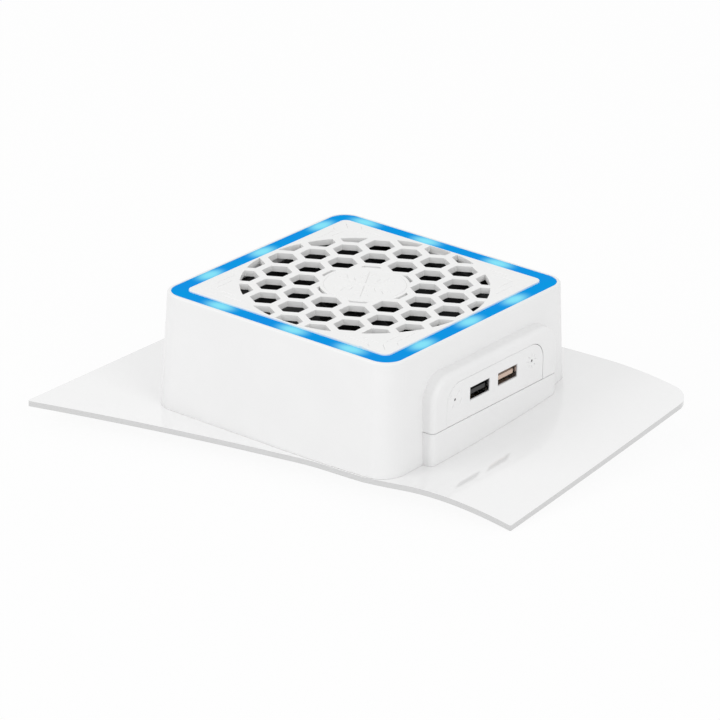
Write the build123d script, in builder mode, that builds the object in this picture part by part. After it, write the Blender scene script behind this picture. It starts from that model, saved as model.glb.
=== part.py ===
from build123d import *
import math
import os

# Console cooling fan, all lengths in millimetres
# The origin is on the fan axis, at the lower face of the round air outlet collar.
# +Z points up to the grille, +X points to the side that carries the two USB ports.

# Heights of the light ring, the grille panel and the light bay
RIM_TOP = 54.5
RING_THICKNESS = 3.0
PANEL_PROUD = 0.5
PANEL_THICKNESS = 2.5
LED_BAY_DEPTH = 3.0
FLOOR_THICKNESS = 1.5
PANEL_TOP = RIM_TOP + PANEL_PROUD
PANEL_BOTTOM = PANEL_TOP - PANEL_THICKNESS
RING_BOTTOM = RIM_TOP - RING_THICKNESS
BAY_FLOOR = RING_BOTTOM - LED_BAY_DEPTH
BAY_UNDERSIDE = BAY_FLOOR - FLOOR_THICKNESS

# Housing shell, ring bay and the kerb that carries the grille panel
HOUSING_TOP_HALF = 60.6
HOUSING_DRAFT = 2.3
HOUSING_TOP_RADIUS = 9.8
HOUSING_FOOT_RADIUS = 10.6
RIM_ROUND = 0.8
WALL = 2.0
RIM_WIDTH = 1.6
RING_WIDTH = 6.4
RING_INNER_RADIUS = 3.2
RING_CLEARANCE = 0.1
RING_LEDGE = 0.6
RING_ROUND = 0.4
KERB_THICKNESS = 1.1
HOUSING_FOOT_HALF = HOUSING_TOP_HALF + HOUSING_DRAFT
RING_OUTER_HALF = HOUSING_TOP_HALF - RIM_WIDTH
RING_CORNER_RADIUS = HOUSING_TOP_RADIUS - RIM_WIDTH
RING_INNER_HALF = RING_OUTER_HALF - RING_WIDTH
KERB_OUTER_HALF = RING_INNER_HALF - RING_CLEARANCE
KERB_INNER_HALF = KERB_OUTER_HALF - KERB_THICKNESS

# Console cover plate, its reach past the housing's foot on each side
PLATE_THICKNESS = 2.4
LEFT_REACH = 40.2
RIGHT_REACH = 49.2
BACK_REACH = 16.1
KNEE_REACH = 4.4
PLATE_LEFT = -HOUSING_FOOT_HALF - LEFT_REACH
PLATE_RIGHT = HOUSING_FOOT_HALF + RIGHT_REACH
PLATE_BACK = HOUSING_FOOT_HALF + BACK_REACH
PLATE_KNEE = HOUSING_FOOT_HALF + KNEE_REACH
PLATE_MIDDLE = 6.0

# Heights of the cover's top skin near its front edge, and how it climbs to the back
PLATE_LEFT_HEIGHT = 4.4
PLATE_MIDDLE_HEIGHT = 4.2
PLATE_KNEE_HEIGHT = 5.9
PLATE_ROLL_HEIGHT = -7.45
MIDDLE_RISE = 0.0004
KNEE_RISE = 0.00046
ROLL_SLOPE = 0.126
RISE_START = -59.0
SECTION_PLACES = (-100.0, RISE_START, -10.0, 40.0, 90.0)
TRIM = 5.0
SHARP_CORNER = 1.0
ROUND_CORNER = 9.0

# Slanted front seam of the cover, which runs flush under the housing's front wall
SEAM_MARGIN = 0.5
SEAM_RADIUS = 80.0
SEAM_FRONT = -HOUSING_FOOT_HALF - SEAM_MARGIN
SEAM_LEFT = (PLATE_LEFT, SEAM_FRONT - 30.9)
SEAM_QUARTER = (PLATE_LEFT + 76.8, SEAM_FRONT - 10.3)
SEAM_FLUSH_LEFT = (HOUSING_FOOT_HALF - 38.9, SEAM_FRONT)
SEAM_FLUSH_RIGHT = (HOUSING_FOOT_HALF - 12.9, SEAM_FRONT)
SEAM_SWEEP = (PLATE_RIGHT - 32.1, SEAM_FRONT + 5.4)
SEAM_RIGHT = (PLATE_RIGHT, SEAM_FRONT + 16.2)
SEAT_GAP = 0.08
DEEP = 60.0

# Fan frame, which stands inside the panel kerb
FAN_INSET = 10.6
FAN_HEIGHT = 25.0
FAN_TOP_GAP = 2.5
FAN_CORNER_RADIUS = 6.0
FAN_FLANGE = 4.0
FAN_EDGE = 2.5
FAN_HOLE_INSET = 5.0
FAN_DUCT_WALL = 1.6
FAN_DUCT_BEVEL = 1.2
FAN_LUG_RADIUS = 4.2
STRUT_COUNT = 4
STRUT_WIDTH = 4.0
STRUT_HEIGHT = 3.6
MOTOR_FLOOR = 2.5
MOTOR_FLOOR_RADIUS = 17.5
FAN_SIZE = 2 * (HOUSING_TOP_HALF - FAN_INSET)
FAN_TOP = PANEL_BOTTOM - FAN_TOP_GAP
FAN_BOTTOM = FAN_TOP - FAN_HEIGHT
FAN_DUCT_RADIUS = FAN_SIZE / 2 - FAN_EDGE
FAN_HOLE_SPACING = FAN_SIZE - 2 * FAN_HOLE_INSET

# Air outlet duct under the fan
DUCT_STEP = 1.5
DUCT_WALL = 2.0
DUCT_GAP = 0.3
DUCT_RADIUS = FAN_DUCT_RADIUS - DUCT_STEP
DUCT_TOP = FAN_BOTTOM - DUCT_GAP

# Fan rotor
TIP_CLEARANCE = 1.0
HUB_RADIUS = 18.5
HUB_WALL = 1.5
HUB_ROUND = 1.4
HUB_SET_BACK = 1.0
HUB_LIFT = 5.0
HUB_BOSS_RADIUS = 3.5
HUB_BOSS_LENGTH = 4.0
BLADE_COUNT = 7
BLADE_BITE = 1.35
BLADE_ROOT = (HUB_RADIUS - BLADE_BITE, 0.0, 6.3, 8.4, 1.4, 1.9)
BLADE_MIDDLE = ((HUB_RADIUS + FAN_DUCT_RADIUS) / 2, 4.5, 9.6, 8.2, 1.9, 1.6)
BLADE_TIP = (FAN_DUCT_RADIUS, 11.0, 14.0, 7.6, 2.3, 1.3)
YOKE_WALL = 1.0
MAGNET_THICKNESS = 1.7
MAGNET_HEIGHT = 14.0
HUB_TOP = FAN_TOP - HUB_SET_BACK
HUB_CEILING = HUB_TOP - HUB_WALL
HUB_BOTTOM = FAN_BOTTOM + HUB_LIFT

# Motor, shaft and bearing
SHAFT_RADIUS = 1.5
SHAFT_CLEARANCE = 0.05
SHAFT_LIFT = 0.2
GROOVE_RADIUS = 1.15
CLIP_RADIUS = 2.6
CLIP_THICKNESS = 0.6
CLIP_LIFT = 1.3
SLEEVE_RADIUS = 3.0
SLEEVE_LENGTH = 12.4
SLEEVE_LIFT = 2.6
TUBE_RADIUS = 4.5
TUBE_GAP = 0.5
AIR_GAP = 0.3
CORE_HEIGHT = 7.0
CORE_LIFT = 6.5
POLE_COUNT = 4
POLE_WIDTH = 4.0
POLE_SHOE = 1.4
POLE_SLOT = 5.0
CORE_HUB_RADIUS = 7.0
COIL_LENGTH = 3.8
COIL_BUILD = 1.8
COIL_PLACE = 9.9
MOTOR_BOARD_THICKNESS = 1.2
MOTOR_BOARD_RADIUS = 15.0
FIT = 0.05

# Hexagon grille
HEX_PITCH = 14.6
HEX_WEB = 3.4
GRILLE_EDGE = 0.6
DISC_OVERLAP = 0.3
SLIVER = 0.9
PANEL_CLEARANCE = 0.2
PANEL_ROUND = 0.3
LEG_Y = 30.0
LEG_WIDTH = 3.0
LEG_THICKNESS = 1.0
LEG_HOOK = 0.9
LEG_HOOK_HEIGHT = 1.4
LEG_PLAY = 0.15
NOTCH_X = 39.0
NOTCH_LENGTH = 2.2
NOTCH_DEPTH = 0.5
PANEL_HALF = RING_INNER_HALF - PANEL_CLEARANCE
GRILLE_RADIUS = PANEL_HALF - GRILLE_EDGE
DISC_RADIUS = HUB_RADIUS + DISC_OVERLAP

# Port pod, its lower skirt and the bezel
POD_PROUD = 6.7
POD_CENTRE = 2.2
POD_HALF = 42.3
POD_CORNER = 11.0
POD_EDGE = 2.4
POD_ROOT = HOUSING_TOP_HALF - WALL - 1.6
PARTING_GAP = 0.3
BEZEL_CENTRE = 1.5
BEZEL_HALF = 32.7
BEZEL_CORNER = 8.3
BEZEL_GAP = 0.2
BEZEL_SET_BACK = 0.1
FLANGE_OVERLAP = 1.2
FLANGE_THICKNESS = 1.5
POD_FACE = HOUSING_TOP_HALF + POD_PROUD

# USB ports and their board
PORT_CENTRE = 0.2
PORT_PITCH = 18.8
PORT_HEIGHT = 30.2
PORT_TO_PARTING = 9.8
PORT_TO_BEZEL_TOP = 8.1
BEZEL_TO_POD_TOP = 5.0
SHELL_WIDTH = 13.1
SHELL_DEPTH = 5.7
SHELL_SKIN = 0.3
SHELL_LENGTH = 14.0
SHELL_SET_BACK = 0.3
TONGUE_WIDTH = 11.1
TONGUE_DEPTH = 1.84
TONGUE_LENGTH = 9.4
TONGUE_OFFSET = -0.3
TONGUE_BASE = 3.0
CONTACT_WIDTH = 1.0
CONTACT_PITCH = 2.2
CONTACT_THICKNESS = 0.2
CONTACT_LENGTH = 7.4
PINHOLE_OFFSET = 26.0
PINHOLE_LIFT = 0.9
PINHOLE_RADIUS = 0.6
PIPE_FOOT = 3.0
BOARD_THICKNESS = 1.6
BOARD_WIDTH = 66.0
BOARD_LENGTH = 11.4
BOARD_SET_BACK = 4.3
BOARD_POST_INSET = 4.0
BOARD_POST_SPACING = 46.0
BOARD_POST_RADIUS = 2.4
BOARD_SCREW_RADIUS = 0.95
BOARD_SCREW_HEAD = 1.8
BOARD_SCREW_HEAD_HEIGHT = 1.2
BOARD_SCREW_LENGTH = 6.0
BOARD_HOLE_DEPTH = 7.0
BOARD_FRONT = POD_FACE - BOARD_SET_BACK
BOARD_BACK = BOARD_FRONT - BOARD_LENGTH
BOARD_POST_X = BOARD_BACK + BOARD_POST_INSET
PARTING_HEIGHT = PORT_HEIGHT - PORT_TO_PARTING
BEZEL_TOP = PORT_HEIGHT + PORT_TO_BEZEL_TOP
POD_TOP = BEZEL_TOP + BEZEL_TO_POD_TOP
PINHOLE_HEIGHT = PORT_HEIGHT + PINHOLE_LIFT
BOARD_TOP = PORT_HEIGHT - SHELL_DEPTH / 2 - FIT
BOARD_BOTTOM = BOARD_TOP - BOARD_THICKNESS

# Power inlet on the back wall
INLET_X = 30.0
INLET_HEIGHT = 21.0
INLET_WIDTH = 9.0
INLET_DEPTH = 3.2
INLET_SKIN = 0.3
INLET_LENGTH = 7.3
INLET_GAP = 0.3
INLET_SET_BACK = 0.6
INLET_POST_SPACING = 18.0
INLET_BOARD_WIDTH = 25.0
INLET_BOARD_LENGTH = 8.0
INLET_TONGUE_WIDTH = 6.6
INLET_TONGUE_DEPTH = 0.7
INLET_BOARD_TOP = INLET_HEIGHT - INLET_DEPTH / 2 - FIT
INLET_BOARD_BOTTOM = INLET_BOARD_TOP - BOARD_THICKNESS
INLET_POST_INSET = 5.6
INLET_POST_Y = HOUSING_TOP_HALF - INLET_POST_INSET

# Fasteners, posts and bosses
SCREW_RADIUS = 1.45
SCREW_HOLE = 1.7
SCREW_HEAD = 2.8
SCREW_HEAD_HEIGHT = 1.8
SCREW_HEAD_GAP = 0.3
HOUSING_BOSS_INSET = 8.6
HOUSING_BOSS_RADIUS = 3.4
BOSS_HOLE_TOP = 18.0
HOUSING_SCREW_TOP = 16.0
POST_RADIUS = 3.8
POST_HOLE_DEPTH = 12.0
FAN_SCREW_DEPTH = 9.0
PAD_THICKNESS = 1.0
SCREW_PAD_RADIUS = 4.4
PAD_LEVEL = 0.3
HOUSING_BOSS_SPACING = 2 * (HOUSING_TOP_HALF - HOUSING_BOSS_INSET)

# Hooks under the cover
HOOK_LEFT = PLATE_LEFT + 25.1
HOOK_RIGHT = PLATE_RIGHT - 28.1
HOOK_BACK = PLATE_BACK - 21.0
HOOK_PLACES = (
    (HOOK_LEFT, SEAM_LEFT[1] + 32.3),
    (HOOK_LEFT, HOOK_BACK),
    (HOOK_RIGHT, SEAM_RIGHT[1] + 11.2),
    (HOOK_RIGHT, HOOK_BACK),
    (0.0, HOOK_BACK + 8.0),
)
HOOK_LENGTH = 10.0
HOOK_THICKNESS = 2.0
HOOK_LIP = 3.0
HOOK_LEVEL = -3.0

# Light emitting diodes, places along each side measured from its middle
LED_FRONT = (-31.0, 7.0, 37.0)
LED_RIGHT = (-33.5, -2.0, 28.5)
LED_BACK = (-44.0, -11.0, 27.0)
LED_LEFT = (-33.0, 1.0, 40.5)
LED_LENGTH = 3.5
LED_WIDTH = 2.8
LED_HEIGHT = 1.4
LED_BOARD_THICKNESS = 1.2
BOARD_EDGE_GAP = 0.3
LEG_X = KERB_INNER_HALF - LEG_PLAY - LEG_THICKNESS / 2


def save(piece, name):
    """Label one finished piece and write its STEP file."""
    piece.part.label = name
    export_step(piece.part, f"parts/{name}.step")


def rise(y, rate):
    """Height that the cover gains towards the back."""
    return rate * max(0.0, y - RISE_START) ** 2


def cover_section(y, depth, drop):
    """Closed profile across the cover at one distance back, its top skin lowered by drop."""
    left = (PLATE_LEFT - TRIM, PLATE_LEFT_HEIGHT - drop)
    middle = (PLATE_MIDDLE, PLATE_MIDDLE_HEIGHT + rise(y, MIDDLE_RISE) - drop)
    knee = (PLATE_KNEE, PLATE_KNEE_HEIGHT + rise(y, KNEE_RISE) - drop)
    right = (PLATE_RIGHT + TRIM, PLATE_ROLL_HEIGHT + ROLL_SLOPE * (y - RISE_START) - drop)
    with BuildSketch(Plane.XZ.offset(-y)) as section:
        with BuildLine():
            flat = Line(left, middle)
            crown = TangentArc(middle, knee, tangent=flat % 1)
            TangentArc(knee, right, tangent=crown % 1)
            lower = [(x, height - depth) for x, height in (left, middle, knee, right)]
            Line(right, lower[3])
            flat_below = Line(lower[0], lower[1])
            crown_below = TangentArc(lower[1], lower[2], tangent=flat_below % 1)
            TangentArc(lower[2], lower[3], tangent=crown_below % 1)
            Line(lower[0], left)
        make_face()
    return section.sketch


def cover_block(depth, drop=0.0):
    """Block under the cover's curved top skin, depth thick and lowered by drop."""
    with BuildPart() as block:
        for y in SECTION_PLACES:
            add(cover_section(y, depth, drop))
        loft()
    return block.part


def housing_half(height):
    """Half width of the drafted housing at one height."""
    return HOUSING_FOOT_HALF + (HOUSING_TOP_HALF - HOUSING_FOOT_HALF) * height / RIM_TOP


def housing_corner(height):
    """Corner radius of the drafted housing at one height."""
    return HOUSING_FOOT_RADIUS + (HOUSING_TOP_RADIUS - HOUSING_FOOT_RADIUS) * height / RIM_TOP


def drafted_block(inset, low, high):
    """Block with the housing's drafted walls, set in by inset."""
    with BuildPart() as block:
        for height in (low, high):
            side = 2 * (housing_half(height) - inset)
            with BuildSketch(Plane.XY.offset(height)):
                RectangleRounded(side, side, housing_corner(height) - inset)
        loft(ruled=True)
    return block.part


def arch(place, centre, half, bottom, top, radius):
    """Upright profile with two rounded top corners, on a plane that faces +X."""
    with BuildSketch(Plane.YZ.offset(place)) as profile:
        with Locations((centre, (bottom + top) / 2)):
            Rectangle(2 * half, top - bottom)
        fillet(profile.vertices().group_by(Axis.Y)[-1], radius)
    return profile.sketch


def side_places(offsets_by_side, distance):
    """Places on the four sides of a square, with the turn of each side in degrees."""
    front, right, back, left = offsets_by_side
    places = [(offset, -distance, 0) for offset in front]
    places += [(distance, offset, 90) for offset in right]
    places += [(offset, distance, 0) for offset in back]
    places += [(-distance, offset, 90) for offset in left]
    return places


os.makedirs("parts", exist_ok=True)

# Blocks that shape the pieces which stand on the cover or hang below it
cover_skin = cover_block(PLATE_THICKNESS)
below_middle = cover_block(DEEP, drop=PLATE_THICKNESS / 2)
below_seat = cover_block(DEEP, drop=-SEAT_GAP)

# Works on top of the cover: fan posts and board posts
with BuildPart() as upper_works:
    with BuildSketch(Plane.XY.offset(-DEEP / 2)):
        with GridLocations(FAN_HOLE_SPACING, FAN_HOLE_SPACING, 2, 2):
            Circle(POST_RADIUS)
    extrude(amount=DEEP / 2 + FAN_BOTTOM - PAD_THICKNESS)
    with BuildSketch(Plane.XY.offset(-DEEP / 2)):
        with Locations((BOARD_POST_X, PORT_CENTRE)):
            with GridLocations(0, BOARD_POST_SPACING, 1, 2):
                Circle(BOARD_POST_RADIUS)
    extrude(amount=DEEP / 2 + BOARD_BOTTOM)
    with BuildSketch(Plane.XY.offset(-DEEP / 2)):
        with Locations((INLET_X, INLET_POST_Y)):
            with GridLocations(INLET_POST_SPACING, 0, 2, 1):
                Circle(BOARD_POST_RADIUS)
    extrude(amount=DEEP / 2 + INLET_BOARD_BOTTOM)
    add(below_middle, mode=Mode.SUBTRACT)

# Works under the cover: screw pads and the hooks that grip the console
with BuildPart() as lower_works:
    with BuildSketch(Plane.XY.offset(PAD_LEVEL)):
        with GridLocations(HOUSING_BOSS_SPACING, HOUSING_BOSS_SPACING, 2, 2):
            Circle(SCREW_PAD_RADIUS)
    extrude(amount=DEEP)
    for x, y in HOOK_PLACES:
        with BuildSketch(Plane.XY.offset(HOOK_LEVEL)):
            with Locations((x, y)):
                Rectangle(HOOK_LENGTH, HOOK_THICKNESS)
        extrude(amount=DEEP)
        with BuildSketch(Plane.XY.offset(HOOK_LEVEL)):
            with Locations((x, y + math.copysign(HOOK_LIP / 2, y))):
                Rectangle(HOOK_LENGTH, HOOK_THICKNESS + HOOK_LIP)
        extrude(amount=HOOK_THICKNESS)
    add(below_middle, mode=Mode.INTERSECT)

# Cover plate that replaces the console's own side cover
with BuildPart() as base_plate:
    with BuildSketch(Plane.XY.offset(-DEEP / 2)) as outline:
        with BuildLine():
            Line((PLATE_LEFT, PLATE_BACK), SEAM_LEFT)
            ThreePointArc(SEAM_LEFT, SEAM_QUARTER, SEAM_FLUSH_LEFT)
            Line(SEAM_FLUSH_LEFT, SEAM_FLUSH_RIGHT)
            ThreePointArc(SEAM_FLUSH_RIGHT, SEAM_SWEEP, SEAM_RIGHT)
            Line(SEAM_RIGHT, (PLATE_RIGHT, PLATE_BACK))
            Line((PLATE_RIGHT, PLATE_BACK), (PLATE_LEFT, PLATE_BACK))
        make_face()
        fillet(outline.vertices().sort_by_distance(SEAM_FLUSH_LEFT)[0], SEAM_RADIUS)
        fillet(outline.vertices().sort_by_distance(SEAM_LEFT)[0], SHARP_CORNER)
        fillet(outline.vertices().sort_by_distance(SEAM_RIGHT)[0], SHARP_CORNER)
        fillet(outline.vertices().group_by(Axis.Y)[-1], ROUND_CORNER)
    extrude(amount=DEEP)
    add(cover_skin, mode=Mode.INTERSECT)
    add(upper_works.part)
    add(lower_works.part)
    with BuildSketch(Plane.XY.offset(-DEEP / 2)):
        Circle(DUCT_RADIUS + DUCT_WALL + FIT)
    extrude(amount=DEEP * 2, mode=Mode.SUBTRACT)
    with BuildSketch(Plane.XY.offset(FAN_BOTTOM)):
        with GridLocations(FAN_HOLE_SPACING, FAN_HOLE_SPACING, 2, 2):
            Circle(SCREW_RADIUS + FIT)
    extrude(amount=-POST_HOLE_DEPTH, mode=Mode.SUBTRACT)
    with BuildSketch(Plane.XY.offset(-DEEP / 2)):
        with GridLocations(HOUSING_BOSS_SPACING, HOUSING_BOSS_SPACING, 2, 2):
            Circle(SCREW_HOLE)
    extrude(amount=DEEP * 2, mode=Mode.SUBTRACT)
    with BuildSketch(Plane.XY.offset(PAD_LEVEL + SCREW_HEAD_HEIGHT)):
        with GridLocations(HOUSING_BOSS_SPACING, HOUSING_BOSS_SPACING, 2, 2):
            Circle(SCREW_HEAD + SCREW_HEAD_GAP)
    extrude(amount=-DEEP, mode=Mode.SUBTRACT)
    with BuildSketch(Plane.XY.offset(BOARD_BOTTOM)):
        with Locations((BOARD_POST_X, PORT_CENTRE)):
            with GridLocations(0, BOARD_POST_SPACING, 1, 2):
                Circle(BOARD_SCREW_RADIUS + FIT)
    extrude(amount=-BOARD_HOLE_DEPTH, mode=Mode.SUBTRACT)
    with BuildSketch(Plane.XY.offset(INLET_BOARD_BOTTOM)):
        with Locations((INLET_X, INLET_POST_Y)):
            with GridLocations(INLET_POST_SPACING, 0, 2, 1):
                Circle(BOARD_SCREW_RADIUS + FIT)
    extrude(amount=-BOARD_HOLE_DEPTH, mode=Mode.SUBTRACT)
save(base_plate, "base_plate")

# Round duct from the fan down to the console's intake, pressed into the cover
with BuildPart() as air_duct:
    with BuildSketch():
        Circle(DUCT_RADIUS + DUCT_WALL)
        Circle(DUCT_RADIUS, mode=Mode.SUBTRACT)
    extrude(amount=DUCT_TOP)
save(air_duct, "air_duct")

# Square housing with its light bay, panel kerb, port pod and screw bosses
with BuildPart() as housing_shell:
    add(drafted_block(0, -DEEP / 2, RIM_TOP))
    fillet(housing_shell.edges().group_by(Axis.Z)[-1], RIM_ROUND)
    extrude(arch(POD_ROOT, POD_CENTRE, POD_HALF, PARTING_HEIGHT, POD_TOP, POD_CORNER), amount=POD_FACE - POD_ROOT)
    pod_front = housing_shell.faces().sort_by(Axis.X)[-1]
    fillet(pod_front.edges().sort_by(Axis.Z)[1:], POD_EDGE)
    add(drafted_block(WALL, -DEEP / 2 - 1, BAY_UNDERSIDE), mode=Mode.SUBTRACT)
    extrude(
        arch(POD_ROOT - DEEP / 4, POD_CENTRE, POD_HALF - WALL, PARTING_HEIGHT, POD_TOP - WALL, POD_CORNER - WALL),
        amount=POD_FACE - WALL - POD_ROOT + DEEP / 4,
        mode=Mode.SUBTRACT,
    )
    extrude(
        arch(POD_FACE - 2 * WALL, BEZEL_CENTRE, BEZEL_HALF, PARTING_HEIGHT - 1, BEZEL_TOP, BEZEL_CORNER),
        amount=3 * WALL,
        mode=Mode.SUBTRACT,
    )
    with BuildSketch(Plane.XY.offset(RING_BOTTOM)):
        ring_side = 2 * (RING_OUTER_HALF + RING_CLEARANCE)
        RectangleRounded(ring_side, ring_side, RING_CORNER_RADIUS + RING_CLEARANCE)
        RectangleRounded(2 * KERB_OUTER_HALF, 2 * KERB_OUTER_HALF, RING_INNER_RADIUS, mode=Mode.SUBTRACT)
    extrude(amount=DEEP, mode=Mode.SUBTRACT)
    with BuildSketch(Plane.XY.offset(BAY_FLOOR)):
        bay_side = 2 * (RING_OUTER_HALF - RING_LEDGE)
        RectangleRounded(bay_side, bay_side, RING_CORNER_RADIUS - RING_LEDGE)
        RectangleRounded(2 * KERB_OUTER_HALF, 2 * KERB_OUTER_HALF, RING_INNER_RADIUS, mode=Mode.SUBTRACT)
    extrude(amount=DEEP, mode=Mode.SUBTRACT)
    with BuildSketch(Plane.XY.offset(PANEL_BOTTOM - FIT)):
        RectangleRounded(2 * KERB_OUTER_HALF, 2 * KERB_OUTER_HALF, RING_INNER_RADIUS)
    extrude(amount=DEEP, mode=Mode.SUBTRACT)
    with BuildSketch(Plane.XY.offset(BAY_UNDERSIDE - WALL)):
        RectangleRounded(2 * KERB_INNER_HALF, 2 * KERB_INNER_HALF, RING_INNER_RADIUS - KERB_THICKNESS)
    extrude(amount=DEEP, mode=Mode.SUBTRACT)
    with BuildSketch(Plane.XY.offset(BAY_UNDERSIDE)):
        with GridLocations(HOUSING_BOSS_SPACING, HOUSING_BOSS_SPACING, 2, 2):
            Circle(HOUSING_BOSS_RADIUS)
    extrude(amount=-DEEP)
    add(below_seat, mode=Mode.SUBTRACT)
    with BuildSketch(Plane.XY.offset(-DEEP / 2)):
        with GridLocations(HOUSING_BOSS_SPACING, HOUSING_BOSS_SPACING, 2, 2):
            Circle(SCREW_RADIUS + FIT)
    extrude(amount=DEEP / 2 + BOSS_HOLE_TOP, mode=Mode.SUBTRACT)
    with BuildSketch(Plane.XZ.offset(-housing_half(INLET_HEIGHT) + 2 * WALL)):
        with Locations((INLET_X, INLET_HEIGHT)):
            SlotOverall(INLET_WIDTH + 2 * INLET_GAP, INLET_DEPTH + 2 * INLET_GAP)
    extrude(amount=-4 * WALL, mode=Mode.SUBTRACT)
save(housing_shell, "housing_shell")

# Skirt that closes the pod below its parting line
with BuildPart() as pod_skirt:
    extrude(arch(POD_ROOT, POD_CENTRE, POD_HALF, -DEEP / 2, PARTING_HEIGHT + DEEP, POD_CORNER), amount=POD_FACE - POD_ROOT)
    fillet(pod_skirt.faces().sort_by(Axis.X)[-1].edges().sort_by(Axis.Z)[1:], POD_EDGE)
    with BuildSketch(Plane.XY.offset(PARTING_HEIGHT - PARTING_GAP)):
        Rectangle(6 * POD_FACE, 6 * POD_FACE)
    extrude(amount=2 * DEEP, mode=Mode.SUBTRACT)
    with BuildSketch(Plane.XY.offset(PARTING_HEIGHT - PARTING_GAP - WALL)):
        with Locations(((POD_ROOT + POD_FACE - WALL) / 2, POD_CENTRE)):
            Rectangle(POD_FACE - WALL - POD_ROOT, 2 * (POD_HALF - WALL))
    extrude(amount=-2 * DEEP, mode=Mode.SUBTRACT)
    add(drafted_block(-FIT, -DEEP, DEEP), mode=Mode.SUBTRACT)
    add(below_seat, mode=Mode.SUBTRACT)
save(pod_skirt, "pod_skirt")

# Port bezel, a plate with a wider flange behind the pod's front wall
with BuildPart() as port_bezel:
    extrude(
        arch(POD_FACE - WALL, BEZEL_CENTRE, BEZEL_HALF - BEZEL_GAP, PARTING_HEIGHT, BEZEL_TOP - BEZEL_GAP, BEZEL_CORNER),
        amount=WALL - BEZEL_SET_BACK,
    )
    extrude(
        arch(
            POD_FACE - WALL - FIT,
            BEZEL_CENTRE,
            BEZEL_HALF + FLANGE_OVERLAP,
            PARTING_HEIGHT,
            BEZEL_TOP + FLANGE_OVERLAP,
            BEZEL_CORNER,
        ),
        amount=-FLANGE_THICKNESS,
    )
    with BuildSketch(Plane.YZ.offset(POD_FACE - WALL - FIT)):
        with Locations((BEZEL_CENTRE, (PARTING_HEIGHT + BEZEL_TOP) / 2)):
            Rectangle(2 * BEZEL_HALF - 4 * FLANGE_OVERLAP, BEZEL_TOP - PARTING_HEIGHT - 4 * FLANGE_OVERLAP)
    extrude(amount=FIT)
    with BuildSketch(Plane.YZ.offset(POD_FACE + 1)):
        with Locations((PORT_CENTRE, PORT_HEIGHT)):
            with GridLocations(PORT_PITCH, 0, 2, 1):
                Rectangle(SHELL_WIDTH + 2 * FIT, SHELL_DEPTH + 2 * FIT)
        with Locations((PORT_CENTRE, PINHOLE_HEIGHT)):
            with GridLocations(2 * PINHOLE_OFFSET, 0, 2, 1):
                Circle(PINHOLE_RADIUS)
    extrude(amount=-DEEP / 2, mode=Mode.SUBTRACT)
save(port_bezel, "port_bezel")

# Grille panel with a hexagon field, a solid centre disc and four snap legs
hex_reach = GRILLE_RADIUS + (HEX_PITCH - HEX_WEB) / 2 - SLIVER
hex_keep = DISC_RADIUS - (HEX_PITCH - HEX_WEB) / 2 + SLIVER
hex_rows = math.ceil(GRILLE_RADIUS / HEX_PITCH) + 1
hex_centres = []
for row in range(-hex_rows, hex_rows + 1):
    for column in range(-2 * hex_rows, 2 * hex_rows + 1):
        x = HEX_PITCH * (column + row / 2)
        y = HEX_PITCH * row * math.sqrt(3) / 2
        if hex_keep < math.hypot(x, y) < hex_reach:
            hex_centres.append((x, y))

with BuildPart() as grille_panel:
    with BuildSketch(Plane.XY.offset(PANEL_BOTTOM)):
        RectangleRounded(2 * PANEL_HALF, 2 * PANEL_HALF, RING_INNER_RADIUS - RING_CLEARANCE)
    extrude(amount=PANEL_THICKNESS)
    fillet(grille_panel.edges().group_by(Axis.Z)[-1], PANEL_ROUND)
    with BuildSketch(Plane.XY.offset(PANEL_BOTTOM)):
        with Locations(*hex_centres):
            RegularPolygon((HEX_PITCH - HEX_WEB) / 2, 6, major_radius=False, rotation=30)
        Circle(GRILLE_RADIUS, mode=Mode.INTERSECT)
        Circle(DISC_RADIUS, mode=Mode.SUBTRACT)
    extrude(amount=PANEL_THICKNESS, mode=Mode.SUBTRACT)
    with BuildSketch(Plane.XY.offset(PANEL_BOTTOM)):
        with Locations((NOTCH_X, -PANEL_HALF)):
            SlotOverall(NOTCH_LENGTH, 2 * NOTCH_DEPTH)
    extrude(amount=PANEL_THICKNESS, mode=Mode.SUBTRACT)
    with BuildSketch(Plane.XY.offset(PANEL_BOTTOM)):
        with GridLocations(2 * LEG_X, 2 * LEG_Y, 2, 2):
            Rectangle(LEG_THICKNESS, LEG_WIDTH)
    extrude(amount=BAY_UNDERSIDE - LEG_PLAY - LEG_HOOK_HEIGHT - PANEL_BOTTOM)
    with BuildSketch(Plane.XY.offset(BAY_UNDERSIDE - LEG_PLAY)):
        with GridLocations(2 * LEG_X + LEG_HOOK, 2 * LEG_Y, 2, 2):
            Rectangle(LEG_THICKNESS + LEG_HOOK, LEG_WIDTH)
    extrude(amount=-LEG_HOOK_HEIGHT)
save(grille_panel, "grille_panel")

# Light ring
with BuildPart() as light_ring:
    with BuildSketch(Plane.XY.offset(RING_BOTTOM + FIT)):
        RectangleRounded(2 * RING_OUTER_HALF, 2 * RING_OUTER_HALF, RING_CORNER_RADIUS)
        RectangleRounded(2 * RING_INNER_HALF, 2 * RING_INNER_HALF, RING_INNER_RADIUS, mode=Mode.SUBTRACT)
    extrude(amount=RING_THICKNESS - FIT)
    fillet(light_ring.edges().group_by(Axis.Z)[-1], RING_ROUND)
save(light_ring, "light_ring")

# Square circuit board under the ring, with its light emitting diodes
with BuildPart() as led_board:
    with BuildSketch(Plane.XY.offset(BAY_FLOOR + FIT)):
        board_side = 2 * (RING_OUTER_HALF - RING_LEDGE - BOARD_EDGE_GAP)
        RectangleRounded(board_side, board_side, RING_CORNER_RADIUS - RING_LEDGE)
        hole_side = 2 * (KERB_OUTER_HALF + BOARD_EDGE_GAP)
        RectangleRounded(hole_side, hole_side, RING_INNER_RADIUS, mode=Mode.SUBTRACT)
    extrude(amount=LED_BOARD_THICKNESS)
save(led_board, "led_board")

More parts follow.
